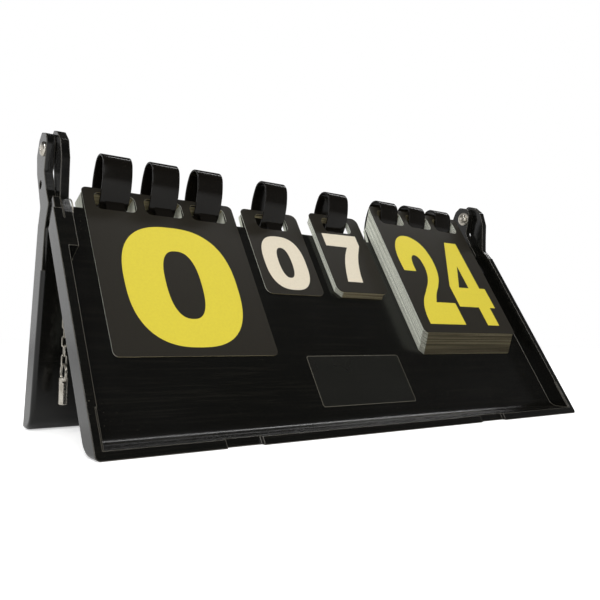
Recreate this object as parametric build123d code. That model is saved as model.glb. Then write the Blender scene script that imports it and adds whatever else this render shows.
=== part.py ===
from build123d import *
import math
import os

os.makedirs("parts", exist_ok=True)

# Tabletop flip scoreboard: two moulded trays hinged at the top stand as a tent.
# Millimetres. Origin: centre of the footprint on the table, Z up.
# The numbered side faces -Y, X runs along the hinge.

# ---- driving dimensions: trays -------------------------------------------
WIDTH = 390.0             # outside width of both trays
FRONT_REACH = 199.3       # hinge axis down to the front tray's foot
BACK_REACH = 171.8        # hinge axis down to the back tray's foot
TENT_ANGLE = 40.92        # angle between the trays when standing
TRAY_DEPTH = 15.5         # open rim face to the outside of the floor
FLOOR_T = 2.2             # floor thickness
RIM_W = 5.2               # thickness of the side and bottom rims
BACK_EDGE_R = 2.5         # rounding of the floor's outer edges at the sides
FOOT_R = 13.0             # rounding from the foot up to the outside of the floor
FOOT_R_IN = 9.0           # the same corner inside the tray
LEDGE_S = 28.0            # height of the stepped ledge inside the side rims
LEDGE_W = 1.0             # how far the ledge narrows the rim above it
LEDGE_D = 0.8             # depth of that step below the rim face

FLOOR_DROP = 31.3         # hinge axis down to the top edge of the front floor
BACK_CUT_DROP = 79.8      # hinge axis down to the back floor's edge between its side strips
BACK_STRIP_W = 21.0       # width of the strips that run higher at the sides
STRIP_CLEAR = 0.64        # chain to the top of the strip beside it

NOTCHES = [(-125.0, -102.0), (80.0, 106.0)]   # set-back lengths of the bottom rim
NOTCH_DROP = 2.5          # how far they are set back

# ---- driving dimensions: hinge arms and hardware --------------------------
ARM_T = 5.2               # thickness of one hinge arm
ARM_GAP = 0.4             # gap between the two arms of a hinge
ARM_PASS = 0.5            # room where the other tray's arm passes
WALL_TOP_DROP = 45.2      # hinge axis down to the highest point of the cut side wall
ROOT_DROP = 72.0          # hinge axis down to where the inboard arm starts
STOP_CLEAR = 0.3          # gap between the tent stop and the arm it stops
STOP_DROP = 36.0          # hinge axis down to the top of the stop rib
STOP_L = 20.0             # length of the stop rib
ARM_FOOT = 47.8           # hinge axis down to where an arm widens into its side wall
STOP_SET = 1.2            # how far the stop rib is set back from the side face
ARM_ROUND = 3.0
BORE_PLAY = 0.03          # radial play of a screw in the front tray's arm
# arm outline: (towards the inside of the tray depth, up) from the hinge axis
ARM_OPEN = [(-6.5, 10.2), (-10.9, 5.7), (-14.0, -3.9), (-10.8, -15.0), (-2.7, -27.3),
            (2.2, -35.1)]
ARM_INNER = [(14.9, -ARM_FOOT), (16.6, -40.7), (19.2, -32.5), (12.0, -24.4), (4.7, -13.6),
             (5.6, 4.0), (2.6, 9.4)]

SCREW_D = 5.0             # hinge screw shank
SCREW_PLAY = 0.08         # radial running fit in the back tray's arm
HEAD_D = 9.0              # domed screw head
HEAD_H = 2.0
HEAD_CUT = 1.3            # bevel round the head
WASHER_D = 12.0
WASHER_T = 1.0
NUT_D = 7.6
NUT_T = 2.6
PIN_HOLE_D = 5.4          # lock hole through both arms of the left hinge
PIN_HOLE_Y = 4.45         # lock hole from the hinge axis in the standing tent
PIN_HOLE_Z = -21.0

# ---- driving dimensions: card rings ---------------------------------------
RING_DEPTH = 12.5         # ring centre from the rim face
RING_RISE = 21.8          # ring centre above the floor's top edge
RING_LEAN = 45.9          # long axis of the loop from the panel's upward direction
RING_A = 18.8             # half length of the loop
RING_B = 9.9              # half width of the loop
RING_END_R = 8.0          # radius of the loop's two ends
RING_T = 1.3              # band thickness
RING_W = 19.3             # band width
FOOT_W = 12.0             # foot that stands in the floor's top edge
FOOT_T = 1.2
FOOT_DEPTH = 4.0
LOOP_FACETS = 40          # chords round a loop

# ---- driving dimensions: cards --------------------------------------------
CARD_T = 0.4
FRONT_PITCH = 0.5         # card to card in the loose front packs
REAR_PITCH = 0.41         # card to card in the packs pressed together behind
CARD_GAP = 0.15           # floor to the first card
SMALL_W = 49.5
SMALL_X = 29.6            # ring of a small set from the middle
SET_GAP = 9.4             # between a small and a large set
SIDE_GAP = 18.55          # large set to the side rim, room for the chain
LEFT_SMALL_SHIFT = -2.2   # the small cards hang off centre on their rings
RIGHT_SMALL_SHIFT = -1.5
LARGE_BELOW = 126.9       # ring centre down to the bottom edge of a large card
SMALL_BELOW = 78.85       # the same for a small card
LARGE_CORNER = 3.5
SMALL_CORNER = 5.0
SLOT_EDGE = 7.25          # from an outer slot to the side edge of a large card
SLOT_WEB = 6.0            # card between two slots
SMALL_SLOT_EDGE = 11.25   # from the slot to the side edge of a small card
SLOT_TOP = 7.7            # ring centre down to the top of a card's slot
SLOT_BOTTOM = 21.3        # ring centre down to the bottom of the slot
SLOT_R = 4.0
TOP_CHORDS = 4            # chords in each corner of the four cards on show
STRIP = 3.5               # card above the slot
STACK_SHEAR = 0.93        # cards of the thick front pack ride up this much per mm
SMALL_SHEAR = 0.6         # the same for the small pack
FRONT_LARGE_COUNT = 24    # cards under the right large card
REAR_LEFT_COUNT = 30
REAR_RIGHT_COUNT = 6
FRONT_SMALL_COUNT = 7     # cards under the right small card
REAR_SMALL_COUNT = 7      # cards behind the left small card
REAR_LEAN = 8.3           # packs behind the floor hang away from it by this angle
REAR_CLEAR = 0.3          # floor edge to the first card behind it
REAR_STRIP_TOP = 5.0      # ring centre down to the top edge of a rear card

# ---- driving dimensions: chain --------------------------------------------
CHAIN_IN = 13.0           # left side face in to the chain
WIRE_D = 0.9              # wire of the anchor ring and the chain links
ANCHOR_R = 8.4            # anchor ring, middle of the wire
ANCHOR_SET = 2.88         # its centre in front of the floor's back
ANCHOR_DROP = 6.48        # its centre below the floor's top edge
ANCHOR_HOLE_D = 3.0       # hole in the front floor for the anchor ring
LINK_L = 5.6              # inside length of a link
LINK_W = 3.6              # outside width of a link
LINK_BEND = 0.8           # bevel that bends the ends of a link
LINK_PLAY = 0.1
WIRE_FACETS = 6           # flats round the wire
ROUND_FACETS = 24         # chords round the wire rings, washers, nuts and lock pin
TOP_PLAY = 0.3            # first link on the anchor ring
CHAIN_REST = 40.2         # table up to the lowest point of the last link
SPLIT_D = 12.5
SPLIT_WIRE = 1.5
LOCK_PIN_D = 5.0
LOCK_PIN_L = 16.0
PIN_EYE_D = 2.4           # cross hole for the split ring
PIN_EYE_DROP = 2.6        # pin top to that hole

# ---- placement --------------------------------------------------------------
spread = math.sqrt(FRONT_REACH ** 2 + BACK_REACH ** 2
                   - 2 * FRONT_REACH * BACK_REACH * math.cos(math.radians(TENT_ANGLE)))
hinge_z = FRONT_REACH * BACK_REACH * math.sin(math.radians(TENT_ANGLE)) / spread
front_lean = math.degrees(math.acos(hinge_z / FRONT_REACH))
back_lean = math.degrees(math.acos(hinge_z / BACK_REACH))
outer_x = WIDTH / 2
inner_x = outer_x - RIM_W
floor_s = FRONT_REACH - FLOOR_DROP
ring_s = floor_s + RING_RISE
large_w = inner_x - SIDE_GAP - (SMALL_X + SMALL_W / 2 + SET_GAP)
large_x = inner_x - SIDE_GAP - large_w / 2
large_slot_w = (large_w - 2 * SLOT_EDGE - 2 * SLOT_WEB) / 3
small_slot_w = SMALL_W - 2 * SMALL_SLOT_EDGE
ring_pitch = large_slot_w + SLOT_WEB

# panel axes: X across, Y from the open rim into the depth, Z up the panel
front_frame = Location((0, -spread / 2, 0)) * Location((0, 0, 0), (-front_lean, 0, 0))
back_frame = (Location((0, spread / 2, 0)) * Location((0, 0, 0), (0, 0, 180))
              * Location((0, 0, 0), (-back_lean, 0, 0)))
hinge_y = FRONT_REACH * math.sin(math.radians(front_lean)) - spread / 2

# the anchor ring hangs over the front floor's top edge, and the chain hangs from the ring
anchor = (front_frame * Pos(0, TRAY_DEPTH - ANCHOR_SET, floor_s - ANCHOR_DROP)).position
chain_x = CHAIN_IN - outer_x
chain_y, anchor_z = anchor.Y, anchor.Z
floor_middle = TRAY_DEPTH - FLOOR_T / 2
anchor_hole_s = floor_s - ANCHOR_DROP - math.sqrt(ANCHOR_R ** 2 - (ANCHOR_SET - FLOOR_T / 2) ** 2)
back_strip_s = ((spread / 2 - chain_y - LINK_W / 2 - STRIP_CLEAR
                 - TRAY_DEPTH * math.cos(math.radians(back_lean))) / math.sin(math.radians(back_lean)))

out_layer = (outer_x - ARM_T, outer_x)
in_layer = (outer_x - 2 * ARM_T - ARM_GAP, outer_x - ARM_T - ARM_GAP)


def slab(x0, x1, y0, y1, z0, z1):
    """A plain box between two corners."""
    return Pos((x0 + x1) / 2, (y0 + y1) / 2, (z0 + z1) / 2) * Box(x1 - x0, y1 - y0, z1 - z0)


def side_plate(sketch, x0, x1):
    """A sketch drawn as (depth, up) turned into a plate between two X planes."""
    return extrude(Plane.YZ.offset(x0) * sketch, x1 - x0)


def polygon(points):
    return make_face(Polyline(*points, close=True))


def arm_sketch(reach):
    low = [(TRAY_DEPTH, -ROOT_DROP), (0, -ROOT_DROP), (0, -ARM_FOOT)]
    pts = [(n, reach + s) for n, s in ARM_OPEN + list(reversed(low)) + ARM_INNER]
    face = polygon(pts)
    rounded = [v for v in face.vertices() if v.Y > reach - 45]
    return fillet(rounded, ARM_ROUND)


def x_bore(dia, n, s, x0, x1):
    return Pos((x0 + x1) / 2, n, s) * Rot(0, 90, 0) * Cylinder(dia / 2, x1 - x0)


def cut_line(n, lean, up=0.0):
    """Height at depth n of a line parallel to the table, up above the foot."""
    return up + n * math.tan(math.radians(lean))


def tray(reach, lean, floor_top, screw_play):
    """One moulded tray. The arm at +X lies outboard, the arm at -X inboard."""
    wall_top = reach - WALL_TOP_DROP
    top = max(wall_top, floor_top)
    inner_n = TRAY_DEPTH - FLOOR_T
    outline = polygon([(0, 0), (TRAY_DEPTH, cut_line(TRAY_DEPTH, lean)), (TRAY_DEPTH, top), (0, top)])
    outline = fillet([v for v in outline.vertices() if v.X > 1 and v.Y < 20], FOOT_R)
    shell = side_plate(outline, -outer_x, outer_x)
    side_back = [e for e in shell.edges().filter_by(Axis.Z) if e.center().Y > 1]
    shell = fillet(side_back, BACK_EDGE_R)
    recess = polygon([(-1, cut_line(-1, lean, RIM_W)), (inner_n, cut_line(inner_n, lean, RIM_W)),
                      (inner_n, top + 1), (-1, top + 1)])
    recess = fillet([v for v in recess.vertices() if v.X > 1 and v.Y < 20], FOOT_R_IN)
    shell -= side_plate(recess, -inner_x, inner_x)
    if floor_top < wall_top:
        shell -= slab(-inner_x, inner_x, -1, TRAY_DEPTH + 1, floor_top, top + 1)
    if floor_top > wall_top:
        for x0, x1 in ((-outer_x - 1, -inner_x), (inner_x, outer_x + 1)):
            shell -= slab(x0, x1, -1, TRAY_DEPTH + 1, wall_top, top + 1)
    # stepped ledge along the side rims
    for side in (-1, 1):
        x0, x1 = sorted((side * (inner_x - 0.01), side * (inner_x + LEDGE_W)))
        shell -= slab(x0, x1, -1, LEDGE_D, RIM_W, LEDGE_S)
    # finger notches in the bottom rim
    for u0, u1 in NOTCHES:
        shell -= slab(u0, u1, -1, NOTCH_DROP, -1, RIM_W + 3)
    # side wall cut on a slant on the inboard side, clear of the other tray's arm
    slant = polygon([(-1, wall_top + 0.5), (8.9, wall_top - 4.2), (TRAY_DEPTH + 1, wall_top - 6.2),
                     (TRAY_DEPTH + 1, reach), (-1, reach)])
    shell -= side_plate(slant, -outer_x - 1, -outer_x + ARM_T)
    # hinge arms
    shell += side_plate(arm_sketch(reach), *out_layer)
    shell += side_plate(arm_sketch(reach), -in_layer[1], -in_layer[0])
    shell += slab(-inner_x - 1, -in_layer[0], 0, TRAY_DEPTH - 1, reach - ROOT_DROP, wall_top - 7)
    # floor corner open where the other tray's inboard arm passes
    shell -= slab(in_layer[0] - ARM_PASS, in_layer[1] + ARM_PASS - 0.1, TRAY_DEPTH - FLOOR_T - 1,
                  TRAY_DEPTH + 1, reach - ROOT_DROP + 20, reach - 20)
    # bores for the hinge screws
    for x0, x1 in (out_layer, (-in_layer[1], -in_layer[0])):
        shell -= x_bore(SCREW_D + 2 * screw_play, 0, reach, x0 - 1, x1 + 1)
    return shell


front = tray(FRONT_REACH, front_lean, floor_s, BORE_PLAY)
back_cut_s = BACK_REACH - BACK_CUT_DROP
back = tray(BACK_REACH, back_lean, max(back_strip_s, back_cut_s), SCREW_PLAY)
strip_x = outer_x - BACK_STRIP_W
back -= slab(-strip_x, strip_x, 5, TRAY_DEPTH + 1, back_cut_s, BACK_REACH)
for x0, x1 in ((-inner_x, -strip_x), (strip_x, inner_x)):
    back -= slab(x0, x1, 5, TRAY_DEPTH + 1, back_strip_s, back_cut_s + 1) if back_strip_s < back_cut_s else []

# tent stop: a rib on the front tray's left side fills the room up to the back tray's arm
back_in_front = front_frame.inverse() * back_frame
stop_top = FRONT_REACH - STOP_DROP
stop_poly = polygon([(1, stop_top - 0.8 * STOP_L), (TRAY_DEPTH - 2, stop_top - STOP_L),
                     (TRAY_DEPTH - 2, stop_top), (1, stop_top)])
stop = side_plate(stop_poly, -outer_x + STOP_SET, -outer_x + ARM_T)
arm_room = offset(arm_sketch(BACK_REACH), STOP_CLEAR)
stop -= back_in_front * side_plate(arm_room, *(out_layer[0] - 1, out_layer[1] + 1))
stop = stop.solids().sort_by(Axis.Z)[0] if len(stop.solids()) > 1 else stop
front += stop

# lock hole through both left arms, square to the standing tent
lock_world = Location((0, hinge_y + PIN_HOLE_Y, hinge_z + PIN_HOLE_Z))
lock_bore = lock_world * Location((-outer_x + ARM_T, 0, 0), (0, 90, 0)) * Cylinder(PIN_HOLE_D / 2, 3 * ARM_T)
front -= front_frame.inverse() * lock_bore
back -= back_frame.inverse() * lock_bore

# sockets for the ring feet, and the hole for the chain eye
large_slots = [-ring_pitch, 0, ring_pitch]
ring_x = {
    "left_large": [-large_x + k for k in large_slots],
    "left_small": [-SMALL_X],
    "right_small": [SMALL_X],
    "right_large": [large_x + k for k in large_slots],
}
for xs in ring_x.values():
    for x in xs:
        front -= slab(x - FOOT_W / 2, x + FOOT_W / 2, floor_middle - FOOT_T / 2, floor_middle + FOOT_T / 2,
                      floor_s - FOOT_DEPTH, floor_s + 1)

# ---- card rings -------------------------------------------------------------


def loop_sketch(inset):
    """The oval loop drawn in (depth, up): two end arcs joined by two long side arcs.

    Its points are taken at even turns of the surface direction, so that an inset
    loop stays parallel to the outer one.
    """
    offset_k = RING_A - RING_END_R
    side_r = ((offset_k ** 2 + RING_B ** 2 - RING_END_R ** 2) / (2 * (RING_B - RING_END_R)))
    side_y = side_r - RING_B
    join = math.atan2(side_y, offset_k)
    points = []
    for i in range(LOOP_FACETS):
        t = 2 * math.pi * i / LOOP_FACETS
        c, d = math.cos(t), math.sin(t)
        if abs(math.sin(t)) < math.sin(join):
            points.append((math.copysign(offset_k, c) + (RING_END_R - inset) * c,
                           (RING_END_R - inset) * d))
        else:
            points.append(((side_r - inset) * c, (side_r - inset) * d - math.copysign(side_y, d)))
    return Pos(RING_DEPTH, ring_s) * Rot(0, 0, 90 + RING_LEAN) * polygon(points)


band_face = loop_sketch(0) - loop_sketch(RING_T)
foot_face = polygon([(floor_middle - FOOT_T / 2, floor_s - FOOT_DEPTH),
                     (floor_middle + FOOT_T / 2, floor_s - FOOT_DEPTH),
                     (floor_middle + FOOT_T / 2, ring_s), (floor_middle - FOOT_T / 2, ring_s)]) - loop_sketch(RING_T / 2)
foot_face = foot_face.faces().sort_by(Axis.Y)[0]


def ring(x):
    band = side_plate(band_face, x - RING_W / 2, x + RING_W / 2)
    return front_frame * (band + side_plate(foot_face, x - FOOT_W / 2, x + FOOT_W / 2))


# ---- cards ------------------------------------------------------------------


def rounded(width, height, radius, chords):
    """A rectangle whose corners are drawn with a few chords."""
    points = []
    for quarter, (sx, sy) in enumerate(((1, 1), (-1, 1), (-1, -1), (1, -1))):
        for i in range(chords + 1):
            t = math.radians(90 * (quarter + i / chords))
            points.append((sx * (width / 2 - radius) + radius * math.cos(t),
                           sy * (height / 2 - radius) + radius * math.sin(t)))
    return polygon(points)


def card(width, below, slots, slot_w, corner, chords=1):
    """A card lying in the XZ plane, its ring centre at the origin, middle plane at Y 0."""
    low, high = -below, STRIP - SLOT_TOP
    face = Pos(0, (low + high) / 2) * rounded(width, high - low, corner, chords)
    for x in slots:
        hole = Rectangle(slot_w, SLOT_BOTTOM - SLOT_TOP)
        if chords > 1:
            hole = rounded(slot_w, SLOT_BOTTOM - SLOT_TOP, SLOT_R, chords)
        face -= Pos(x, -(SLOT_TOP + SLOT_BOTTOM) / 2) * hole
    return extrude(Plane.XZ.offset(CARD_T / 2) * face, -CARD_T)


large = {"width": large_w, "below": LARGE_BELOW, "slots": large_slots, "slot_w": large_slot_w,
         "corner": LARGE_CORNER}
small = {"width": SMALL_W, "below": SMALL_BELOW, "slots": [0], "slot_w": small_slot_w,
         "corner": SMALL_CORNER}
left_small_x = LEFT_SMALL_SHIFT - SMALL_X
right_small_x = RIGHT_SMALL_SHIFT + SMALL_X
first_n = TRAY_DEPTH - FLOOR_T - CARD_GAP - CARD_T / 2


def front_card(kind, x, k, shear=0.0, chords=1):
    n = first_n - k * FRONT_PITCH
    return front_frame * Pos(x, n, ring_s + shear * (first_n - n)) * card(**kind, chords=chords)


def rear_card(kind, x, k):
    """Card k of a pack that leans off the floor's top edge and hangs behind it."""
    t = math.radians(REAR_LEAN)
    edge_n = TRAY_DEPTH + REAR_CLEAR - RING_DEPTH
    edge_s = floor_s - ring_s
    off = edge_n * math.cos(t) + edge_s * math.sin(t) + CARD_T / 2 + k * REAR_PITCH
    slide = SLOT_TOP - STRIP - REAR_STRIP_TOP
    place = Pos(x, RING_DEPTH, ring_s) * Rot(REAR_LEAN, 0, 0) * Pos(0, off, slide)
    return front_frame * place * card(**kind)


def pack(cards):
    return Compound(children=cards)


parts = {
    "left_large_zero_card": front_card(large, -large_x, 0, 0, TOP_CHORDS),
    "left_large_rear_cards": pack([rear_card(large, -large_x, k) for k in range(REAR_LEFT_COUNT)]),
    "left_small_zero_card": front_card(small, left_small_x, 0, 0, TOP_CHORDS),
    "left_small_rear_cards": pack([rear_card(small, left_small_x, k) for k in range(REAR_SMALL_COUNT)]),
    "right_small_seven_card": front_card(small, right_small_x, FRONT_SMALL_COUNT, SMALL_SHEAR,
                                         TOP_CHORDS),
    "right_small_front_cards": pack([front_card(small, right_small_x, k, SMALL_SHEAR)
                                     for k in range(FRONT_SMALL_COUNT)]),
    "right_large_top_card": front_card(large, large_x, FRONT_LARGE_COUNT, STACK_SHEAR,
                                       TOP_CHORDS),
    "right_large_front_cards": pack([front_card(large, large_x, k, STACK_SHEAR)
                                     for k in range(FRONT_LARGE_COUNT)]),
    "right_large_rear_cards": pack([rear_card(large, large_x, k) for k in range(REAR_RIGHT_COUNT)]),
}
for side, xs in ring_x.items():
    names = ["_outer", "_middle", "_inner"] if len(xs) == 3 else [""]
    for x, name in zip(sorted(xs, key=abs, reverse=True), names):
        parts[f"{side}{name}_ring"] = ring(x)

# ---- hinge hardware ---------------------------------------------------------


def screw(sign):
    """Domed screw from the outside, its shank reaching the nut inside."""
    tip = in_layer[0] - WASHER_T - NUT_T
    head = extrude(RegularPolygon(HEAD_D / 2, ROUND_FACETS), HEAD_H - HEAD_CUT)
    head += Pos(0, 0, HEAD_H - HEAD_CUT) * extrude(RegularPolygon(HEAD_D / 2, ROUND_FACETS), HEAD_CUT,
                                                   taper=45)
    head = Pos(0, 0, outer_x) * head
    shank = Pos(0, 0, (tip + outer_x + 1) / 2) * Cylinder(SCREW_D / 2, outer_x + 1 - tip)
    body = Rot(0, 90, 0) * (head + shank)
    turn = Rot(0, 0, 0) if sign > 0 else Rot(0, 0, 180)
    return Pos(0, hinge_y, hinge_z) * turn * body


def plate_ring(sign, outer_d, x0, x1):
    face = (RegularPolygon(outer_d / 2, ROUND_FACETS)
            - RegularPolygon(SCREW_D / 2, ROUND_FACETS, major_radius=False))
    return Pos(min(sign * x0, sign * x1), hinge_y, hinge_z) * Rot(0, 90, 0) * extrude(face, x1 - x0)


for side, sign in (("left", -1), ("right", 1)):
    parts[f"{side}_hinge_screw"] = screw(sign)
    parts[f"{side}_hinge_washer"] = plate_ring(sign, WASHER_D, in_layer[0] - WASHER_T, in_layer[0])
    parts[f"{side}_hinge_nut"] = plate_ring(sign, NUT_D, in_layer[0] - WASHER_T - NUT_T,
                                            in_layer[0] - WASHER_T)

# ---- chain, split ring and lock pin -------------------------------------------
front -= (Pos(chain_x, floor_middle, anchor_hole_s) * Rot(90, 0, 0)
          * Cylinder(ANCHOR_HOLE_D / 2, 2 * FLOOR_T))


def wire_loop(points, wire):
    """Wire bent round a closed run of points in the XY plane."""
    middle = ((points[0][0] + points[-1][0]) / 2, (points[0][1] + points[-1][1]) / 2)
    run = (points[0][0] - middle[0], points[0][1] - middle[1], 0)
    section = Plane(origin=(*middle, 0), x_dir=(0, 0, 1), z_dir=run) * RegularPolygon(wire / 2, WIRE_FACETS)
    return sweep(section, path=Polyline(middle, *points, close=True), transition=Transition.RIGHT)


def wire_ring(radius, wire):
    turns = [2 * math.pi * i / ROUND_FACETS for i in range(ROUND_FACETS)]
    return wire_loop([(radius * math.cos(t), radius * math.sin(t)) for t in turns], wire)


parts["chain_anchor_ring"] = (Pos(chain_x, chain_y, anchor_z) * Rot(0, 90, 0)
                              * wire_ring(ANCHOR_R, WIRE_D))


def link(z, quarter):
    """An oval link standing on end, in the XZ plane or turned a quarter."""
    a, b = (LINK_W - WIRE_D) / 2, (LINK_L + WIRE_D) / 2
    corner = [(a, b - LINK_BEND), (a - LINK_BEND, b)]
    upper = corner + [(-x, y) for x, y in corner[::-1]]
    body = Rot(90, 0, 0) * wire_loop(upper + [(-x, -y) for x, y in upper], WIRE_D)
    return Pos(chain_x, chain_y, z) * Rot(0, 0, 90 * quarter) * body


pivot_z = anchor_z - ANCHOR_R
link_pitch = LINK_L - LINK_PLAY
first_z = pivot_z + WIRE_D / 2 + TOP_PLAY - LINK_L / 2
link_count = round((first_z - LINK_L / 2 - CHAIN_REST) / link_pitch) + 1
links = [link(first_z - k * link_pitch, k % 2) for k in range(link_count)]
parts["chain_links"] = pack(links)

# the split ring lies square to the last link
last_inner = first_z - (link_count - 1) * link_pitch - LINK_L / 2
split_r = (SPLIT_D - SPLIT_WIRE) / 2
split_z = last_inner + SPLIT_WIRE / 2 + LINK_PLAY - split_r
split_turn = Rot(90, 0, 0) if link_count % 2 == 0 else Rot(0, 90, 0)
parts["split_ring"] = Pos(chain_x, chain_y, split_z) * split_turn * wire_ring(split_r, SPLIT_WIRE)

pin_top = split_z - split_r + PIN_EYE_DROP + (PIN_EYE_D - SPLIT_WIRE) / 2 - LINK_PLAY
pin = extrude(RegularPolygon(LOCK_PIN_D / 2, ROUND_FACETS), LOCK_PIN_L)
pin = Pos(0, 0, pin_top - LOCK_PIN_L) * chamfer(pin.edges().filter_by(GeomType.LINE).filter_by(Plane.XY), 0.4)
eye_dir = Rot(0, 90, 0) if link_count % 2 == 0 else Rot(90, 0, 0)
pin -= Pos(0, 0, pin_top - PIN_EYE_DROP) * eye_dir * Pos(0, 0, -LOCK_PIN_D) * extrude(
    RegularPolygon(PIN_EYE_D / 2, ROUND_FACETS // 2, major_radius=False), 2 * LOCK_PIN_D)
parts["lock_pin"] = Pos(chain_x, chain_y, 0) * pin

parts["front_tray"] = front_frame * front
parts["back_tray"] = back_frame * back

for name, shape in parts.items():
    export_step(shape, f"parts/{name}.step")
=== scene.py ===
# %% [markdown]
# # Dressing a tabletop flip scoreboard
# The frame brings the part's solids at rest, in metres: two black trays hinged at the top, number cards on
# plastic loops, hinge screws, and a lock pin on a chain. This lesson gives every piece its finish and prints
# the numbers. It also makes again, with rounder edges, what the solids keep plain: the loops, the chain, the
# wire rings and the turned hardware. A room, lamps and a camera come last.

# %% Load the frame
import math
import bmesh
import bpy
from mathutils import Matrix, Vector


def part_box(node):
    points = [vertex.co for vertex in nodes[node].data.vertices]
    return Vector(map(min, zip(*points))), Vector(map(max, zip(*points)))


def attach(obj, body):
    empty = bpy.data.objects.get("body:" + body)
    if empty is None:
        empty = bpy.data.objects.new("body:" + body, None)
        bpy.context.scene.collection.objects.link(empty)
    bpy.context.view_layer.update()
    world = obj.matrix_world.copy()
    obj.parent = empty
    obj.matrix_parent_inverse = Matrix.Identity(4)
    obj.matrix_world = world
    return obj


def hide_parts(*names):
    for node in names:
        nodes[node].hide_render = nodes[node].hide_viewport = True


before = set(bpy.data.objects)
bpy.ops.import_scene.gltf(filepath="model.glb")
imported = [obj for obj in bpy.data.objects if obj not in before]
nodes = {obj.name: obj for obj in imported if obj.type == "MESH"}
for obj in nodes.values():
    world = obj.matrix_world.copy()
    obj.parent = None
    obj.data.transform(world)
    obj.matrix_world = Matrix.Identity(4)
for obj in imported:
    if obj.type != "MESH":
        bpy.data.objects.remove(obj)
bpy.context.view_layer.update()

# %% [markdown]
# ## Where things are
# The front tray leans back about its foot, and all cards and rings are placed on it. World coordinates would
# turn each of their places into trigonometry. So a place is given as x across, n the depth from the open rim
# and s the way up from the foot, in millimetres, and one function turns it into room coordinates. The foot
# and the hinge line are measured on the frame, so the lean follows the part.

# %% Panel coordinates
MM = 1000                                      # millimetres in a metre


def middle(node):
    """The middle of a solid's box, in millimetres."""
    low, high = (Vector(corner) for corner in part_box(node))
    return (low + high) / 2 * MM


HINGE = middle("left_hinge_screw")
FOOT = Vector((0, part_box("front_tray")[0][1] * MM, 0))
FRONT_LEAN = math.atan2(HINGE.y - FOOT.y, HINGE.z)
PANEL_UP = Vector((0, math.sin(FRONT_LEAN), math.cos(FRONT_LEAN)))
PANEL_IN = Vector((0, math.cos(FRONT_LEAN), -math.sin(FRONT_LEAN)))


def panel(x, n, s):
    """A place on the front tray, in metres."""
    return (Vector((x, 0, 0)) + FOOT + PANEL_IN * n + PANEL_UP * s) / MM


print(f"the front tray leans {math.degrees(FRONT_LEAN):.3f} degrees, its foot at y {FOOT.y:.4f} mm")

# %% [markdown]
# ## Colours and nodes
# Colours are written as a painter's hex values, and Blender mixes light in linear values, so one function
# converts them. A node tree could be clicked together by hand, but a script keeps it repeatable. One function
# adds a node, and an input may be given as a value, as a socket, or as another node, which means that node's
# first output. So a whole tree reads as one list of nodes.

# %% Colours and nodes
def srgb(hexcode):
    """A colour written as #rrggbb, as the linear value that Blender works in."""
    parts = [int(hexcode[i:i + 2], 16) / 255 for i in (1, 3, 5)]
    return [c / 12.92 if c <= 0.04045 else ((c + 0.055) / 1.055) ** 2.4 for c in parts] + [1.0]


def add(tree, kind, inputs=None, **settings):
    """Adds a node with its settings. An input is a value, a socket, or a node for its first output."""
    node = tree.nodes.new(kind)
    for key, value in settings.items():
        setattr(node, key, value)
    for key, value in (inputs or {}).items():
        if isinstance(value, bpy.types.Node):
            value = next(socket for socket in value.outputs if socket.enabled)
        if isinstance(value, bpy.types.NodeSocket):
            tree.links.new(value, node.inputs[key])
        else:
            node.inputs[key].default_value = value
    return node


print("black plastic #0a0a08 is", [round(c, 4) for c in srgb("#0a0a08")])

# %% [markdown]
# ## Starting a material, and placing a piece
# Every finish here ends in one principled shader, so its inputs are given in one call. A finished piece is
# an object at the origin with its place in its mesh, as the solids are. Then a pattern on Object coordinates
# stays where it is when a body turns. `put` makes such an object and lets it ride on a body.

# %% Materials and pieces
def new_material(name):
    """A material with an empty tree."""
    mat = bpy.data.materials.new(name)
    mat.use_nodes = True
    mat.node_tree.nodes.clear()
    return mat, mat.node_tree


def end_material(mat, inputs):
    """Ends a material in the principled shader, with its inputs."""
    shader = add(mat.node_tree, "ShaderNodeBsdfPrincipled", inputs)
    add(mat.node_tree, "ShaderNodeOutputMaterial", {"Surface": shader})
    print(mat.name, "has", len(mat.node_tree.nodes), "nodes")
    return mat


def put(name, mesh, body, material):
    """An object at the origin that rides on a body."""
    mesh.materials.clear()
    mesh.materials.append(material)
    obj = bpy.data.objects.new(name, mesh)
    bpy.context.scene.collection.objects.link(obj)
    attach(obj, body)
    print(f"{name}: {len(mesh.vertices)} corners, {len(mesh.polygons)} faces, on {body}")
    return obj


# %% [markdown]
# ## Patterns in millimetres
# Wear, dust and grain are all noise, and the right size is what makes them believable. Noise has cells of
# about 1 / Scale of a metre, so `per_metre` turns a real size into that scale. Rub marks are cells drawn out
# one way. Stretching could be done with maths nodes, but a Mapping node set to Texture divides by its scale.
# So that scale is simply the size of one mark, in metres, and the noise after it has a scale of 1.

# %% Noise by real size
def per_metre(size):
    """The noise scale at which one cell is this many millimetres."""
    return MM / size


def metres(*lengths):
    """Lengths in millimetres, in metres."""
    return [length / MM for length in lengths]


MIX_FACTOR, MIX_A, MIX_B = 0, 6, 7             # a Mix node's sockets when it mixes colours
DUST_SPECK, DUST_PATCH = 0.909, 45.45
print("a speck of", DUST_SPECK, "mm needs a noise scale of", round(per_metre(DUST_SPECK)))

# %% [markdown]
# ## Marks on black plastic
# A handled black case shows its age in three ways. Cloth and other cases leave fine rub marks along its
# length, grit leaves short slanted ones, and dust lies in patches. An image could hold them, but noise needs
# no picture and wraps round every side. Real hairlines are under 0.1 mm wide, too fine to show here, so the
# marks are drawn 1.2 to 1.5 mm wide and the dust specks 0.9 mm across.

# %% Rub marks
LONG_MARK = metres(71.43, 1.515, 1.515)        # length, and width both ways
SHORT_MARK = metres(31.25, 1.190, 1.190)


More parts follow.
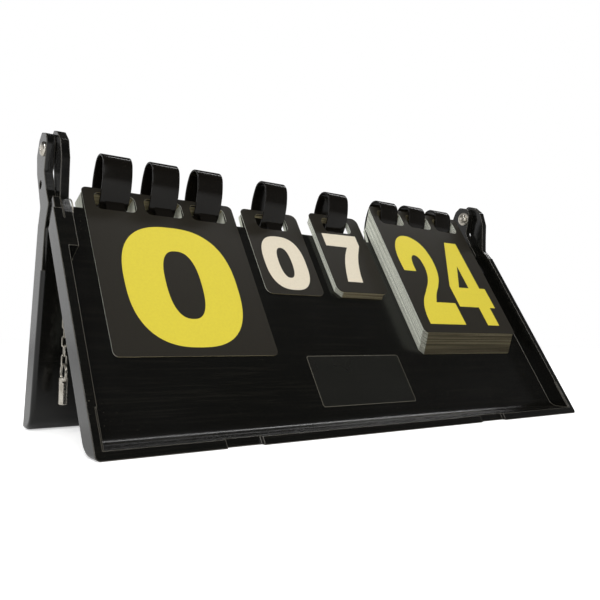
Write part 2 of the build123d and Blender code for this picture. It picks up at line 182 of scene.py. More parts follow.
def rub_marks(tree):
    """Where the surface is rubbed: 0 is untouched and 1 is a full mark."""
    coords = add(tree, "ShaderNodeTexCoord").outputs["Object"]
    lengthwise = add(tree, "ShaderNodeMapping",
                     {"Vector": coords, "Rotation": (0.0, 0.02, 0.01), "Scale": LONG_MARK}, vector_type="TEXTURE")
    long_noise = add(tree, "ShaderNodeTexNoise",
                     {"Vector": lengthwise, "Scale": 1.0, "Detail": 4, "Roughness": 0.7})
    long_marks = add(tree, "ShaderNodeMapRange", {"Value": long_noise, "From Min": 0.5, "From Max": 0.72})
    slanted = add(tree, "ShaderNodeMapping",
                  {"Vector": coords, "Rotation": (0.0, 0.9, 0.3), "Scale": SHORT_MARK}, vector_type="TEXTURE")
    short_noise = add(tree, "ShaderNodeTexNoise", {"Vector": slanted, "Scale": 1.0, "Detail": 2})
    short_marks = add(tree, "ShaderNodeMapRange", {"Value": short_noise, "From Min": 0.7, "From Max": 0.78})
    return add(tree, "ShaderNodeMath", {0: long_marks, 1: short_marks}, operation="MAXIMUM")


print(f"long marks are {LONG_MARK[0] / LONG_MARK[1]:.0f} times as long as wide, and short ones "
      f"{SHORT_MARK[0] / SHORT_MARK[1]:.0f} times")


# %% Dust
def dust(tree):
    """Specks that gather in patches about as wide as a thumb is long."""
    coords = add(tree, "ShaderNodeTexCoord").outputs["Object"]
    fine = add(tree, "ShaderNodeTexNoise", {"Vector": coords, "Scale": per_metre(DUST_SPECK), "Detail": 2})
    broad = add(tree, "ShaderNodeTexNoise", {"Vector": coords, "Scale": per_metre(DUST_PATCH), "Detail": 3})
    specks = add(tree, "ShaderNodeMapRange", {"Value": fine, "From Min": 0.68, "From Max": 0.76})
    patches = add(tree, "ShaderNodeMapRange", {"Value": broad, "From Min": 0.5, "From Max": 0.7})
    return add(tree, "ShaderNodeMath", {0: specks, 1: patches}, operation="MULTIPLY")


print(f"a patch of dust is {DUST_PATCH / DUST_SPECK:.0f} specks across")

# %% [markdown]
# ## Worn edges, with a painted highlight
# The edges of a case lose their shine first and go grey, and they catch the light in thin bright lines. Both are
# painted here as one pale grey: wear, and a painted highlight. The solids have sharp edges, and rounding them in
# the mesh would cost thousands of faces. A Bevel node only rounds the shading. Where the rounded direction
# leaves the flat one the surface is near an edge, so their dot product also says where the wear and the painted
# highlight go.

# %% Edge wear and painted highlight
NO_WEAR_OR_HIGHLIGHT_DOT, WORN = 0.99, 0.86                      # dot products where wear and painted highlight start and where they are full


def edge_wear_and_highlight(tree, rounded, wear_and_highlight):
    """Grey near an edge, standing for rubbed plastic and a painted highlight: 0 on the flats, and the given share
    right on the edge.
    """
    flat = add(tree, "ShaderNodeNewGeometry").outputs["True Normal"]
    same = add(tree, "ShaderNodeVectorMath", {0: rounded, 1: flat}, operation="DOT_PRODUCT")
    return add(tree, "ShaderNodeMapRange",
               {"Value": same, "From Min": WORN, "From Max": NO_WEAR_OR_HIGHLIGHT_DOT, "To Min": wear_and_highlight, "To Max": 0.0})


print(f"wear runs from a turn of {math.degrees(math.acos(NO_WEAR_OR_HIGHLIGHT_DOT)):.0f} degrees to one of "
      f"{math.degrees(math.acos(WORN)):.0f}")

# %% [markdown]
# ## Black mouldings
# Trays like these are injection-moulded ABS and the loops are nylon, both dyed black and taken from a
# polished mould. To the eye that is a near-black body with a clear, low gloss, broken up by slow clouds of a
# hand's width, rub marks and dust. A plain dark shader would look like wet lacquer. One function makes them
# all, because the same things happen to each: only how glossy, scratched and worn it is, and how much painted
# highlight its edges get, differs.

# %% Black moulded plastic
CLOUD = 71.43
SCRATCH_DEPTH = 0.02
# The second colour is the grey of worn edges, and also a painted highlight along them.
DUST_COLOUR, WORN_HIGHLIGHT_COLOUR = "#4a463c", "#7d786c"


def black_moulding(name, colour, roughness, gloss, scratch, streak, cloud, edge, wear_and_highlight):
    """Moulded plastic. `edge` is the edge's radius in millimetres, and the others are shares of 1."""
    mat, tree = new_material(name)
    coords = add(tree, "ShaderNodeTexCoord").outputs["Object"]
    clouds = add(tree, "ShaderNodeTexNoise", {"Vector": coords, "Scale": per_metre(CLOUD), "Detail": 4})
    cloudy = add(tree, "ShaderNodeMapRange", {"Value": clouds, "From Min": 0.35, "From Max": 0.7,
                                              "To Min": roughness - cloud, "To Max": roughness + cloud})
    marks = rub_marks(tree)
    faint = add(tree, "ShaderNodeMath", {0: marks, 1: streak}, operation="MULTIPLY")
    pale = add(tree, "ShaderNodeMath", {0: faint, 1: dust(tree)}, operation="MAXIMUM")
    rounded = add(tree, "ShaderNodeBevel", {"Radius": edge / MM}, samples=6)
    dusty = add(tree, "ShaderNodeMix", {MIX_FACTOR: pale, MIX_A: srgb(colour), MIX_B: srgb(DUST_COLOUR)},
                data_type="RGBA")
    # Near the edges the colour goes pale grey: wear, and a painted highlight.
    worn_and_highlit = add(tree, "ShaderNodeMix", {MIX_FACTOR: edge_wear_and_highlight(tree, rounded, wear_and_highlight), MIX_A: dusty,
                                       MIX_B: srgb(WORN_HIGHLIGHT_COLOUR)}, data_type="RGBA")
    bump = add(tree, "ShaderNodeBump", {"Height": marks, "Distance": SCRATCH_DEPTH / MM, "Strength": scratch,
                                        "Normal": rounded})
    return end_material(mat, {"Base Color": worn_and_highlit, "Roughness": cloudy, "Specular IOR Level": gloss,
                              "Normal": bump})


# The tray's edges get half of that grey: wear and a painted highlight.
tray_black = black_moulding("gloss_black_abs_tray", "#0a0a08", roughness=0.2, gloss=0.4, scratch=0.6,
                            streak=0.08, cloud=0.06, edge=0.9, wear_and_highlight=0.5)

# %% [markdown]
# ## Three more black finishes
# The tray above is large and handled, so it is scratched the most and worn on its edges, and those edges also
# get a painted highlight. The nylon loops are polished by the cards and stay darker and cleaner. The label patch
# is vinyl, a satin film, flatter and a shade lighter, and the adhesive that creeps out round it is a dull grey
# line. Each could be a material of its own, but as settings of one function they stay one family.

# %% Loops, patch and adhesive
ring_black = black_moulding("gloss_black_nylon_ring", "#100e0b", roughness=0.16, gloss=0.2, scratch=0.1,
                            streak=0.0, cloud=0.03, edge=0.3, wear_and_highlight=0.0)
patch_black = black_moulding("satin_black_vinyl_patch", "#171714", roughness=0.3, gloss=0.4, scratch=0.1,
                             streak=0.03, cloud=0.04, edge=0.1, wear_and_highlight=0.0)
edge_film = black_moulding("adhesive_film_edge", "#57544a", roughness=0.4, gloss=0.4, scratch=0.1,
                           streak=0.0, cloud=0.04, edge=0.1, wear_and_highlight=0.0)

# %% [markdown]
# ## Printed card stock: the faces
# The cards are 0.4 mm sheets of pale PVC, printed dark brown-black all over and then cut. The ink lies on a
# faintly grained film, so to the eye a face is a soft dark satin with a slight brown mottle. The film's grain
# is a few hundredths of a millimetre, too fine to show, so it is drawn at 0.8 to 1.1 mm.

# %% Card face
MOTTLE, GRAIN = 1.111, 0.833
MOTTLE_COLOUR = "#2d2921"


def card_face(tree, colour):
    """Dark ink with a slight brown mottle."""
    coords = add(tree, "ShaderNodeTexCoord").outputs["Object"]
    mottle = add(tree, "ShaderNodeTexNoise", {"Vector": coords, "Scale": per_metre(MOTTLE), "Detail": 3})
    share = add(tree, "ShaderNodeMapRange",
                {"Value": mottle, "From Min": 0.3, "From Max": 0.7, "To Max": 0.25})
    return add(tree, "ShaderNodeMix", {MIX_FACTOR: share, MIX_A: srgb(colour), MIX_B: srgb(MOTTLE_COLOUR)},
               data_type="RGBA")


print(f"mottle of {MOTTLE} mm, and grain of {GRAIN} mm in the bump")

# %% [markdown]
# ## Printed card stock: the cut edges
# Where the sheet is cut its pale core shows, and a pack's side is a stack of pale lines, some darker where
# ink was dragged over. Each edge could get a material slot of its own, but the solids come with one slot. The
# surface's direction tells a cut edge from a face, and its x tells a side edge from a bottom one. The bottom
# edges are painted darker and browner than the sides, as painted shade. The lines are noise, long along a card
# and 0.77 mm through the pack. That is one and a half sheets, because lines of single sheets would be too fine
# to show.

# %% Card edges
SIDE_DRAGGED, END_DRAGGED_SHADED = "#c4c7b8", "#665d45"    # where ink was dragged over the cut; the end one is also painted darker, as painted shade
SHEET_LINE = metres(166.7, 0.769, 166.7)            # through the pack is the middle one


def card_edges(tree, normal, lean, side_colour, shaded_end_colour):
    """Pale lines on the sides of a pack, and duller, darker ones on its ends as painted shade."""
    coords = add(tree, "ShaderNodeTexCoord").outputs["Object"]
    sheets = add(tree, "ShaderNodeMapping", {"Vector": coords, "Rotation": (-lean, 0, 0), "Scale": SHEET_LINE},
                 vector_type="TEXTURE")
    lines = add(tree, "ShaderNodeTexNoise", {"Vector": sheets, "Scale": 1.0, "Detail": 3, "Roughness": 0.7})
    clean = add(tree, "ShaderNodeMapRange", {"Value": lines, "From Min": 0.4, "From Max": 0.6})
    sides = add(tree, "ShaderNodeMix", {MIX_FACTOR: clean, MIX_A: srgb(SIDE_DRAGGED), MIX_B: srgb(side_colour)},
                data_type="RGBA")
    # The end edges are painted darker and browner than the sides: painted shade.
    ends = add(tree, "ShaderNodeMix", {MIX_FACTOR: clean, MIX_A: srgb(END_DRAGGED_SHADED), MIX_B: srgb(shaded_end_colour)},
               data_type="RGBA")
    sideways = add(tree, "ShaderNodeSeparateXYZ", {0: normal}).outputs["X"]
    size = add(tree, "ShaderNodeMath", {0: sideways}, operation="ABSOLUTE")
    is_side = add(tree, "ShaderNodeMapRange", {"Value": size, "From Min": 0.3, "From Max": 0.8})
    return add(tree, "ShaderNodeMix", {MIX_FACTOR: is_side, MIX_A: ends, MIX_B: sides}, data_type="RGBA")


# %% Card stock
REAR_LEAN = FRONT_LEAN - math.radians(8.3)     # the packs behind the floor hang steeper
GRAIN_DEPTH = 0.01
SATIN, CUT = 0.42, 0.75                        # roughness of a face and of a cut edge


def card_stock(name, side_colour, shaded_end_colour, lean):
    """Printed sheet that leans by an angle: satin on its faces and dull where it is cut."""
    mat, tree = new_material(name)
    coords = add(tree, "ShaderNodeTexCoord").outputs
    square = Vector((0, math.cos(lean), -math.sin(lean)))
    facing = add(tree, "ShaderNodeVectorMath", {0: coords["Normal"], 1: square}, operation="DOT_PRODUCT")
    flatness = add(tree, "ShaderNodeMath", {0: facing}, operation="ABSOLUTE")
    is_edge = add(tree, "ShaderNodeMapRange",
                  {"Value": flatness, "From Min": 0.7, "From Max": 0.8, "To Min": 1.0, "To Max": 0.0})
    cut = card_edges(tree, coords["Normal"], lean, side_colour, shaded_end_colour)
    colour = add(tree, "ShaderNodeMix", {MIX_FACTOR: is_edge, MIX_A: card_face(tree, "#221f18"), MIX_B: cut},
                 data_type="RGBA")
    roughness = add(tree, "ShaderNodeMapRange", {"Value": is_edge, "To Min": SATIN, "To Max": CUT})
    grain = add(tree, "ShaderNodeTexNoise", {"Vector": coords["Object"], "Scale": per_metre(GRAIN), "Detail": 2})
    bump = add(tree, "ShaderNodeBump", {"Height": grain, "Distance": GRAIN_DEPTH / MM, "Strength": 0.25})
    return end_material(mat, {"Base Color": colour, "Roughness": roughness, "Specular IOR Level": 0.35,
                              "Normal": bump})


# The second colour of each stock, for the end edges, is painted darker and browner as shade.
front_stock = card_stock("printed_pvc_card_front", "#fbfdf0", "#c4b892", FRONT_LEAN)
# The rear packs' cut edges are a shade darker than the front ones: painted shade, as they hang behind the floor.
shaded_rear_stock = card_stock("printed_pvc_card_rear_shaded", "#f2f4e6", "#b5aa86", REAR_LEAN)

# %% [markdown]
# ## Screen-printed ink
# The numbers are screen printed, a thick opaque ink pushed through a mesh. It dries satin, and to the eye a
# little lighter and darker in spots, with a faint texture. A real mesh is about 0.1 mm, too fine to show, so
# the spots are drawn at 1.4 mm and the texture at 0.7 mm. A flat yellow would look like a cut-out film.

# %% Ink
INK_SPOT, INK_TEXTURE = 1.429, 0.667


def ink(name, colour, thin_colour):
    """Opaque ink that shows a second shade where it lies thinner."""
    mat, tree = new_material(name)
    coords = add(tree, "ShaderNodeTexCoord").outputs["Object"]
    spots = add(tree, "ShaderNodeTexNoise", {"Vector": coords, "Scale": per_metre(INK_SPOT), "Detail": 4})
    thin = add(tree, "ShaderNodeMapRange", {"Value": spots, "From Min": 0.35, "From Max": 0.75, "To Max": 0.5})
    shade = add(tree, "ShaderNodeMix", {MIX_FACTOR: thin, MIX_A: srgb(colour), MIX_B: srgb(thin_colour)},
                data_type="RGBA")
    weave = add(tree, "ShaderNodeTexNoise", {"Vector": coords, "Scale": per_metre(INK_TEXTURE), "Detail": 2})
    bump = add(tree, "ShaderNodeBump", {"Height": weave, "Distance": GRAIN_DEPTH / MM, "Strength": 0.2})
    return end_material(mat, {"Base Color": shade, "Roughness": 0.45, "Normal": bump})


yellow_ink = ink("yellow_screen_ink", "#dbca36", "#d1be34")
cream_ink = ink("cream_screen_ink", "#ded4be", "#d2c7b0")

# %% [markdown]
# ## Nickel-plated steel
# Screws, chain and rings are steel with a thin bright nickel plate. New, it is a mirror. After years it has
# brown-grey stains that are also rougher, so to the eye it is bright in places and dull between. One noise
# drives both the colour and the roughness, because a stain changes both. The stains are 4.5 mm across, a
# little less than a link's length, so each link differs from the next.

# %% Plated steel
STAIN, STAIN_SHARE = 4.545, 0.6
STAIN_COLOUR = "#8d8270"


def plated_steel(name, colour, roughness):
    """Bright metal with stains that are darker and 0.2 rougher than the rest."""
    mat, tree = new_material(name)
    coords = add(tree, "ShaderNodeTexCoord").outputs["Object"]
    spots = add(tree, "ShaderNodeTexNoise", {"Vector": coords, "Scale": per_metre(STAIN), "Detail": 4})
    stain = add(tree, "ShaderNodeMapRange",
                {"Value": spots, "From Min": 0.4, "From Max": 0.75, "To Max": STAIN_SHARE})
    shade = add(tree, "ShaderNodeMix", {MIX_FACTOR: stain, MIX_A: srgb(colour), MIX_B: srgb(STAIN_COLOUR)},
                data_type="RGBA")
    dulled = add(tree, "ShaderNodeMapRange",
                 {"Value": stain, "From Max": STAIN_SHARE, "To Min": roughness, "To Max": roughness + 0.2})
    return end_material(mat, {"Base Color": shade, "Metallic": 1.0, "Roughness": dulled})


steel = plated_steel("nickel_plated_steel", "#cfcac0", 0.22)

# %% [markdown]
# ## Which piece is made of what
# The solids' names say what they are, so the finish can be chosen by name, without a list of 29. What no
# rule names is a card ring.

# %% Hand out the finishes
METAL_PIECES = ("split_ring", "lock_pin", "chain_anchor_ring", "chain_links")


def finish_for(name):
    """The material that a solid's name calls for."""
    if name.endswith("_tray"):
        return tray_black
    if "rear_cards" in name:
        return shaded_rear_stock
    if "card" in name:
        return front_stock
    return steel if name in METAL_PIECES or "hinge" in name else ring_black


for name, obj in nodes.items():
    finish = finish_for(name)
    obj.data.materials.clear()
    obj.data.materials.append(finish)
    print(name, "is", finish.name)

# %% [markdown]
# ## Number outlines
# The numbers are bold, squared figures. A font would bring a file and someone's design, so they are drawn
# here. Each outline is a short list of places on the card, in millimetres from the card's middle line and up
# the panel, and True marks a sharp corner. The zeros are squared ovals, which a formula gives: power 2 is an
# ellipse, and a higher power is squarer.

# %% Zeros from a formula
def oval(across, up, half_width, half_height, power, count=72):
    """Places round a squared oval, none of them a corner."""
    points = []
    for i in range(count):
        angle = 2 * math.pi * i / count
        c, s = math.cos(angle), math.sin(angle)
        points.append((across + half_width * math.copysign(abs(c) ** (2 / power), c),
                       up + half_height * math.copysign(abs(s) ** (2 / power), s), False))
    return points


BIG_ZERO = [oval(0, 113.9, 38.3, 45.1, 2.55), oval(0.3, 114.2, 12.2, 25.6, 2.5)]
SMALL_ZERO = [oval(0, 138.6, 18.0, 23.6, 2.6), oval(-0.3, 138.6, 5.7, 13.3, 2.4)]
print("a zero is an outside and an inside of", len(BIG_ZERO[0]), "places each")

# %% Seven, two and four
SEVEN = [[(-19.2, 168.0, True), (14.7, 168.6, True), (14.7, 158.8, True), (8.1, 146.0, False),
          (4.3, 134.0, False), (2.7, 123.0, True), (-11.9, 123.0, True), (-9.1, 135.0, False),
          (-4.7, 146.5, False), (1.1, 156.2, True), (-19.2, 156.2, True)]]
TWO = [[(-44.9, 132.0, True), (-31.7, 132.0, True), (-31.5, 140.0, False), (-28.8, 147.0, False),
        (-25.5, 148.6, False), (-21.7, 146.6, False), (-19.8, 141.0, False), (-20.1, 131.5, False),
        (-23.5, 123.0, False), (-31.1, 113.0, False), (-38.9, 103.0, False), (-42.7, 92.5, False),
        (-43.2, 82.0, True), (-2.8, 82.0, True), (-3.4, 102.4, True), (-25.2, 102.4, True),
        (-20.9, 110.0, False), (-13.7, 119.0, False), (-8.4, 128.0, False), (-6.0, 139.0, False),
        (-6.7, 150.0, False), (-10.5, 160.0, False), (-17.2, 166.0, False), (-25.9, 168.4, False),
        (-34.9, 166.0, False), (-41.6, 158.6, False), (-44.9, 149.0, False), (-45.4, 140.0, False)]]
FOUR = [[(21.2, 166.8, True), (35.8, 166.8, True), (37.1, 119.0, True), (44.0, 119.0, True),
         (44.6, 99.4, True), (37.7, 99.4, True), (38.2, 82.0, True), (24.2, 82.0, True),
         (23.7, 99.4, True), (0.7, 99.4, True), (0.1, 119.4, True)],
        [(22.4, 141.6, True), (23.1, 118.6, True), (11.1, 118.6, True)]]
print("places:", {"7": len(SEVEN[0]), "2": len(TWO[0]), "4": sum(map(len, FOUR))})

# %% [markdown]
# ## Printing a number
# Ink stands a few hundredths of a millimetre above its card. It could be painted in the material, but then
# its edge would be only as sharp as a texture and no shape would be there to export. A filled 2D curve gives
# a clean edge and real thickness. It is made a mesh before it is placed, and each corner is then laid on the
# card's face. That face is measured on the card itself, so the ink follows the pack's thickness.

# %% Where a card's face lies
def card_front(node):
    """How deep a card's front face lies in the panel, to a thousandth of a millimetre."""
    return round(min((v.co * MM - FOOT).dot(PANEL_IN) for v in nodes[node].data.vertices), 3)


for card in ("left_large_zero_card", "right_small_seven_card", "right_large_top_card"):
    print(card, "has its front", card_front(card), "mm below the tray's rim")

# %% From outlines to a mesh
CURVE_STEPS = 10                               # between two places of an outline
INK_THICKNESS = 0.03


def filled_outlines(name, outlines):
    """The flat shape between closed outlines, as a mesh in millimetres."""
    curve = bpy.data.curves.new(name, "CURVE")
    curve.dimensions, curve.fill_mode = "2D", "BOTH"
    curve.extrude = INK_THICKNESS / 2
    curve.resolution_u = CURVE_STEPS
    for outline in outlines:
        spline = curve.splines.new("BEZIER")
        spline.bezier_points.add(len(outline) - 1)
        spline.use_cyclic_u = True
        for point, (x, s, corner) in zip(spline.bezier_points, outline):
            point.co = (x, s, 0)
            point.handle_left_type = point.handle_right_type = "VECTOR" if corner else "AUTO"
    drawing = bpy.data.objects.new(name + "_curve", curve)
    bpy.context.scene.collection.objects.link(drawing)
    bpy.context.view_layer.update()
    graph = bpy.context.evaluated_depsgraph_get()
    mesh = bpy.data.meshes.new_from_object(drawing.evaluated_get(graph))
    bpy.data.objects.remove(drawing)
    return mesh


# %% Print the four numbers
INK_MIDDLE = 0.02                              # from the card's face to the middle of the ink
SEVEN_X = 28.9                                 # the 7 is printed 0.8 mm right of its card's middle


def print_on(name, outlines, card, body, material, x=None):
    """Lays a number on a card, about the card's middle or about another x."""
    mesh = filled_outlines(name, outlines)
    centre_x = middle(card).x if x is None else x
    ink_depth = card_front(card) - INK_MIDDLE
    for v in mesh.vertices:
        v.co = panel(centre_x + v.co.x, ink_depth - v.co.z, v.co.y)
    mesh.update()
    put(name, mesh, body, material)


print_on("left_large_number", BIG_ZERO, "left_large_zero_card", "left_large_zero", yellow_ink)
print_on("left_small_number", SMALL_ZERO, "left_small_zero_card", "left_small_zero", cream_ink)
print_on("right_small_number", SEVEN, "right_small_seven_card", "right_small_seven", cream_ink, x=SEVEN_X)
print_on("right_large_number_tens", TWO, "right_large_top_card", "right_large_top", yellow_ink)
print_on("right_large_number_units", FOUR, "right_large_top_card", "right_large_top", yellow_ink)

# %% [markdown]
# ## Growing pieces with Geometry Nodes
# Loops, links and wire rings repeat, and a Geometry Nodes tree can make one and set it out on points. The
# tree has named inputs for its sizes, so that it can be used again. The export drops instances, so each tree
# ends in Realize Instances and Set Material. `grown` runs a tree once and keeps the plain mesh. Inputs are set
# by the socket's identifier, because the modifier knows its sockets by that and not by their names.

# %% Trees in and out
SOCKET_KINDS = {int: "NodeSocketInt", float: "NodeSocketFloat", list: "NodeSocketVector",
                type(None): "NodeSocketGeometry"}


def new_tree(name, given):
    """A tree with named inputs: a count, a length or a list of them in millimetres, or None for geometry."""
    tree = bpy.data.node_groups.new(name, "GeometryNodeTree")
    for label, value in given.items():
        socket = tree.interface.new_socket(name=label, in_out="INPUT", socket_type=SOCKET_KINDS[type(value)])
        if isinstance(value, list):
            socket.default_value = metres(*value)
        elif value is not None:
            socket.default_value = value if isinstance(value, int) else value / MM
    tree.interface.new_socket(name="Geometry", in_out="OUTPUT", socket_type="NodeSocketGeometry")
    return tree, add(tree, "NodeGroupInput").outputs


def end_tree(tree, shape, material):
    """Makes instances real, gives them their material and hands them out."""
    real = add(tree, "GeometryNodeRealizeInstances", {"Geometry": shape})
    painted = add(tree, "GeometryNodeSetMaterial", {"Geometry": real, "Material": material})
    add(tree, "NodeGroupOutput", {"Geometry": painted})
    print(tree.name, "has", len(tree.nodes), "nodes")


def grown(tree, name, points=(), **values):
    """Runs a tree on some points and returns what it makes as a plain mesh."""
    start = bpy.data.meshes.new(name + "_seed")
    start.from_pydata([tuple(p) for p in points], [], [])
    seed = bpy.data.objects.new(name + "_seed", start)
    bpy.context.scene.collection.objects.link(seed)
    modifier = seed.modifiers.new("grow", "NODES")
    modifier.node_group = tree
    for socket in tree.interface.items_tree:
        if socket.name in values:
            modifier[socket.identifier] = values[socket.name]
    bpy.context.view_layer.update()
    graph = bpy.context.evaluated_depsgraph_get()
    mesh = bpy.data.meshes.new_from_object(seed.evaluated_get(graph))
    bpy.data.objects.remove(seed)
    return mesh


# %% [markdown]
# ## Card rings: the loop
# The cards hang on flat plastic bands that close to a loop, like a long lozenge with round ends: two tight
# end arcs joined by two wide arcs that meet them smoothly. It could be drawn with a pen curve, but four arcs
# follow a rule. The wide arc's radius comes from the loop's half length and half width and the end radius,
# and the tree moves the points of one unit circle onto the arc that each belongs to.

# %% Loop sizes
LOOP_HALF_LENGTH = 18.8
LOOP_HALF_WIDTH = 9.9
END_RADIUS = 8.0
BAND_WIDTH = 19.3
BAND_THICKNESS = 1.3
END_SHIFT = LOOP_HALF_LENGTH - END_RADIUS
SIDE_RADIUS = (END_SHIFT ** 2 + LOOP_HALF_WIDTH ** 2 - END_RADIUS ** 2) / (2 * (LOOP_HALF_WIDTH - END_RADIUS))
SIDE_DROP = SIDE_RADIUS - LOOP_HALF_WIDTH      # how far a wide arc's centre lies past the loop's middle
MEETING = math.sin(math.atan2(SIDE_DROP, END_SHIFT))
print(f"wide arcs of {SIDE_RADIUS:.1f} mm meet end arcs of {END_RADIUS} mm")


# %% The loop in nodes
LOOP_STEPS = 144


def loop_curve(tree, given):
    """A unit circle moved onto four arcs: an end arc where |y| is small, and a wide arc elsewhere."""
    circle = add(tree, "GeometryNodeCurvePrimitiveCircle", {"Resolution": LOOP_STEPS, "Radius": 1.0})
    x, y, _ = add(tree, "ShaderNodeSeparateXYZ", {0: add(tree, "GeometryNodeInputPosition")}).outputs
    x_side = add(tree, "ShaderNodeMath", {0: x}, operation="SIGN")
    y_side = add(tree, "ShaderNodeMath", {0: y}, operation="SIGN")
    end_x = add(tree, "ShaderNodeMath", {0: x_side, 1: given["End Shift"]}, operation="MULTIPLY")
    end_x = add(tree, "ShaderNodeMath", {0: x, 1: given["End Radius"], 2: end_x}, operation="MULTIPLY_ADD")
    end_y = add(tree, "ShaderNodeMath", {0: y, 1: given["End Radius"]}, operation="MULTIPLY")
    side_x = add(tree, "ShaderNodeMath", {0: x, 1: given["Side Radius"]}, operation="MULTIPLY")
    side_y = add(tree, "ShaderNodeMath", {0: y, 1: given["Side Radius"]}, operation="MULTIPLY")
    dropped = add(tree, "ShaderNodeMath", {0: y_side, 1: given["Side Drop"]}, operation="MULTIPLY")
    side_y = add(tree, "ShaderNodeMath", {0: side_y, 1: dropped}, operation="SUBTRACT")
    at_end = add(tree, "ShaderNodeCombineXYZ", {"X": end_x, "Y": end_y})
    at_side = add(tree, "ShaderNodeCombineXYZ", {"X": side_x, "Y": side_y})
    height = add(tree, "ShaderNodeMath", {0: y}, operation="ABSOLUTE")
    is_side = add(tree, "ShaderNodeMath", {0: height, 1: MEETING}, operation="GREATER_THAN")
    chosen = add(tree, "GeometryNodeSwitch", {"Switch": is_side, "False": at_end, "True": at_side},
                 input_type="VECTOR")
    return add(tree, "GeometryNodeSetPosition", {"Geometry": circle, "Position": chosen})


# %% [markdown]
# ## Card rings: band, peg and copies
# The band is a flat strip with softly rounded edges, so its profile is a rectangle with filleted corners,
# swept along the loop. A modelled and bevelled strip would do, but the sweep keeps the band's width and
# thickness as two numbers. Under each loop a small peg stands in a socket of the tray's top edge. The eight
# rings are one shape on eight points, whose x is read from the solids' own rings.

# %% Ring place and tilt
LOOP_TILT = math.radians(90 + 45.9)            # of the loop's long way, from the tray's outward normal
LOOP_N, LOOP_S = 12.5, 189.8                   # the loop's middle: depth and way up the panel
PEG_N, PEG_S = 14.4, 172.6
PEG_SIZE = [12, 1.2, 17.1]                     # across, through and up the tray's edge
BAND_FILLET, FILLET_STEPS = 0.5, 4
loop_length = PANEL_IN * math.cos(LOOP_TILT) + PANEL_UP * math.sin(LOOP_TILT)
loop_width = -PANEL_IN * math.sin(LOOP_TILT) + PANEL_UP * math.cos(LOOP_TILT)
LOOP_TURN = Matrix((loop_length, loop_width, Vector((1, 0, 0)))).transposed().to_euler()
print("the loops are turned by", [round(math.degrees(a), 1) for a in LOOP_TURN])

# %% Ring tree
HALF_BAND = BAND_THICKNESS / 2
tree, given = new_tree("card_ring_tree", {
    "Points": None, "End Shift": END_SHIFT, "End Radius": END_RADIUS - HALF_BAND,
    "Side Radius": SIDE_RADIUS - HALF_BAND, "Side Drop": SIDE_DROP, "Band Width": BAND_WIDTH,
    "Thickness": BAND_THICKNESS, "Fillet": BAND_FILLET, "Peg Size": PEG_SIZE})
flat = add(tree, "GeometryNodeCurvePrimitiveQuadrilateral",
           {"Width": given["Thickness"], "Height": given["Band Width"]})
profile = add(tree, "GeometryNodeFilletCurve", {"Curve": flat, "Count": FILLET_STEPS, "Radius": given["Fillet"]},
              mode="POLY")
band = add(tree, "GeometryNodeCurveToMesh", {"Curve": loop_curve(tree, given), "Profile Curve": profile})
smooth = add(tree, "GeometryNodeSetShadeSmooth", {"Geometry": band})
tilted = add(tree, "GeometryNodeTransform",
             {"Geometry": smooth, "Translation": panel(0, LOOP_N, LOOP_S), "Rotation": LOOP_TURN})
peg = add(tree, "GeometryNodeMeshCube", {"Size": given["Peg Size"]})
stood = add(tree, "GeometryNodeTransform",
            {"Geometry": peg, "Translation": panel(0, PEG_N, PEG_S), "Rotation": (-FRONT_LEAN, 0, 0)})
whole = add(tree, "GeometryNodeJoinGeometry")
for part in (tilted, stood):
    tree.links.new(part.outputs["Geometry"], whole.inputs["Geometry"])
copies = add(tree, "GeometryNodeInstanceOnPoints", {"Points": given["Points"], "Instance": whole})
end_tree(tree, copies, ring_black)

# %% Rings on their points
RING_NODES = ["left_large_outer_ring", "left_large_middle_ring", "left_large_inner_ring", "left_small_ring",
              "right_small_ring", "right_large_inner_ring", "right_large_middle_ring", "right_large_outer_ring"]
ring_points = [(middle(name).x / MM, 0, 0) for name in RING_NODES]
rings = put("card_ring_bands", grown(tree, "rings", ring_points), "front", ring_black)
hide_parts(*RING_NODES)

# %% [markdown]
# ## Chain
# The pin hangs on a plain chain: oval wire links, each turned a quarter from the one above. They could
# be copied by hand, but a tree makes one link from a rounded rectangle with a wire swept round it, and sets it
# on a line of points. The index's remainder by two turns every second link.

# %% Chain sizes
LINK_LENGTH = 6.5                              # along the middle of the wire
LINK_WIDTH = 2.7
LINK_CORNER = LINK_WIDTH / 2.001               # just under half the width, so the ends come out round
QUARTER_TURN = math.pi / 2
FIRST_LINK = Vector((-182.0, 29.4734, 120.35))
LINKS, PITCH, WIRE = 15, 5.5, 0.9
WIRE_SIDES, END_STEPS = 14, 10
print(f"{LINKS} links reach {(LINKS - 1) * PITCH + LINK_LENGTH + WIRE:.1f} mm")

# %% Chain tree
tree, given = new_tree("chain_links_tree", {
    "Links": LINKS, "Pitch": PITCH, "Wire": WIRE, "Link Width": LINK_WIDTH, "Link Length": LINK_LENGTH,
    "Corner": LINK_CORNER})
oblong = add(tree, "GeometryNodeCurvePrimitiveQuadrilateral",
             {"Width": given["Link Width"], "Height": given["Link Length"]})
oval_path = add(tree, "GeometryNodeFilletCurve",
                {"Curve": oblong, "Count": END_STEPS, "Radius": given["Corner"]}, mode="POLY")
half_wire = add(tree, "ShaderNodeMath", {0: given["Wire"], 1: 0.5}, operation="MULTIPLY")
wire = add(tree, "GeometryNodeCurvePrimitiveCircle", {"Resolution": WIRE_SIDES, "Radius": half_wire})
link = add(tree, "GeometryNodeCurveToMesh", {"Curve": oval_path, "Profile Curve": wire})
upright = add(tree, "GeometryNodeTransform", {"Geometry": link, "Rotation": (QUARTER_TURN, 0, 0)})
smooth = add(tree, "GeometryNodeSetShadeSmooth", {"Geometry": upright})
down = add(tree, "ShaderNodeMath", {0: given["Pitch"], 1: -1.0}, operation="MULTIPLY")
